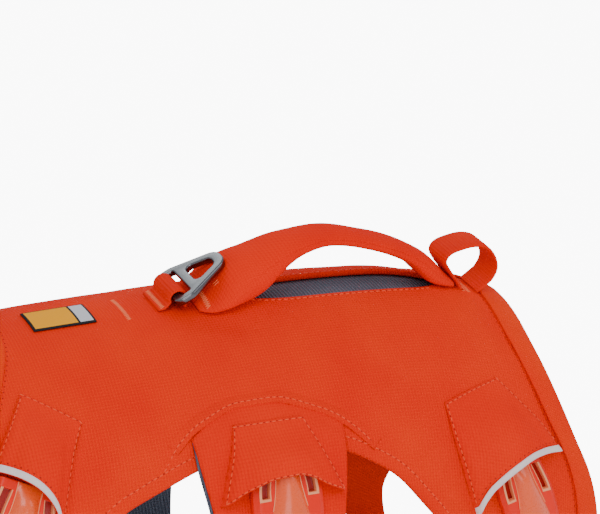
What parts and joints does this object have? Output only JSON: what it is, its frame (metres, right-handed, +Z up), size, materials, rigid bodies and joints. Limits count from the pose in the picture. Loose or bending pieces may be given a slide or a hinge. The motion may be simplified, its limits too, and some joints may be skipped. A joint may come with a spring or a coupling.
{
  "type": "dog harness",
  "caption": "Orange dog harness in its worn shape, with a handle and a leash ring on the back, buckled side straps and a chest panel.",
  "frame": {"origin": "on the wearer's back, at the spine under the lining and below the top of the handle", "axes": "+X towards the wearer's head, +Z up, +Y to the wearer's left"},
  "size_m": [0.328, 0.1922, 0.2226],
  "materials": {
    "orange_cloth": "ripstop weave with topstitching",
    "orange_cover_cloth": "ripstop weave",
    "orange_webbing": "ribbed webbing",
    "gray_lining": "fine ribbed lining",
    "reflective_trim": "reflective piping",
    "orange_plastic": "glossy moulded",
    "aluminium": "tumbled, with polished edges",
    "yellow_patch": "woven patch, bare"
  },
  "bodies": {
    "harness": {"saddle": "orange_cloth", "saddle_lining": "gray_lining", "neck_binding": "orange_cover_cloth", "rear_binding": "orange_cover_cloth", "handle": "orange_cloth", "leash_webbing": "orange_webbing", "front_loop": "orange_webbing", "name_patch": "yellow_patch", "chest_panel": "gray_lining", "girth_tab_right": "orange_cover_cloth", "girth_tab_left": "orange_cover_cloth", "girth_tab_lining_right": "gray_lining", "girth_tab_lining_left": "gray_lining", "rear_cover_right": "orange_cover_cloth", "rear_cover_left": "orange_cover_cloth", "girth_cover_right": "orange_cover_cloth", "girth_cover_left": "orange_cover_cloth", "front_cover_right": "orange_cover_cloth", "front_cover_left": "orange_cover_cloth", "rear_trim_right": "reflective_trim", "rear_trim_left": "reflective_trim", "front_trim_right": "reflective_trim", "front_trim_left": "reflective_trim", "rear_buckle_housing_right": "orange_plastic", "rear_buckle_housing_left": "orange_plastic", "rear_buckle_plug_right": "orange_plastic", "rear_buckle_plug_left": "orange_plastic", "girth_buckle_housing_right": "orange_plastic", "girth_buckle_housing_left": "orange_plastic", "girth_buckle_plug_right": "orange_plastic", "girth_buckle_plug_left": "orange_plastic", "front_buckle_housing_right": "orange_plastic", "front_buckle_housing_left": "orange_plastic", "front_buckle_plug_right": "orange_plastic", "front_buckle_plug_left": "orange_plastic", "rear_strap_right": "orange_webbing", "rear_strap_left": "orange_webbing", "girth_strap_right": "orange_webbing", "girth_strap_left": "orange_webbing", "front_strap_right": "orange_webbing", "front_strap_left": "orange_webbing"},
    "ring": {"v_ring": "aluminium"}
  },
  "joints": [
    {"name": "ring_swing", "type": "hinge", "parent": "harness", "child": "ring", "pos_m": [-0.075, 0, 0.0094], "axis": [0, -1, 0], "range_deg": [0, 157]}
  ]
}
